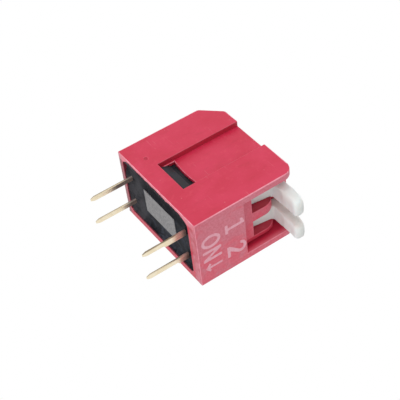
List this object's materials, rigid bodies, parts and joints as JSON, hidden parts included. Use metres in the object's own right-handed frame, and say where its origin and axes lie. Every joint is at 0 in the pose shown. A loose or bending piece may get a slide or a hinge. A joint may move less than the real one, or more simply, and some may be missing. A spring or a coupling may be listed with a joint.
{
  "type": "piano-type dip switch",
  "caption": "Through-hole piano DIP switch for a circuit board: side-actuated rocker keys in a moulded housing, with flat gold pins underneath.",
  "frame": {"origin": "centre of the four-pin pattern, on the seating plane where the housing's bottom rim meets the board", "axes": "+Z away from the board, pins along -Z; +X from position 1 to position 2; the keys and the print face -Y"},
  "size_m": [0.0068, 0.0128, 0.0131],
  "materials": {
    "housing_plastic": "satin moulded polyester, red",
    "base_plastic": "satin moulded polyester, black",
    "sealant": "glossy cured epoxy, black",
    "key_plastic": "satin moulded acetal, white",
    "contact_gold": "gold plating over copper alloy"
  },
  "bodies": {
    "switch_body": {"housing": "housing_plastic", "base": "base_plastic", "base_sealant": "sealant", "front_terminal_1": "contact_gold", "front_terminal_2": "contact_gold", "back_terminal_1": "contact_gold", "back_terminal_2": "contact_gold"},
    "rocker_1": {"key_1": "key_plastic", "wiper_1": "contact_gold"},
    "rocker_2": {"key_2": "key_plastic", "wiper_2": "contact_gold"}
  },
  "joints": [
    {"name": "key_1_pivot", "type": "hinge", "parent": "switch_body", "child": "rocker_1", "pos_m": [-0.00127, -0.0019, 0.00731], "axis": [1, 0, 0], "range_deg": [0, 25]},
    {"name": "key_2_pivot", "type": "hinge", "parent": "switch_body", "child": "rocker_2", "pos_m": [0.00127, -0.0019, 0.00731], "axis": [1, 0, 0], "range_deg": [0, 25]}
  ]
}
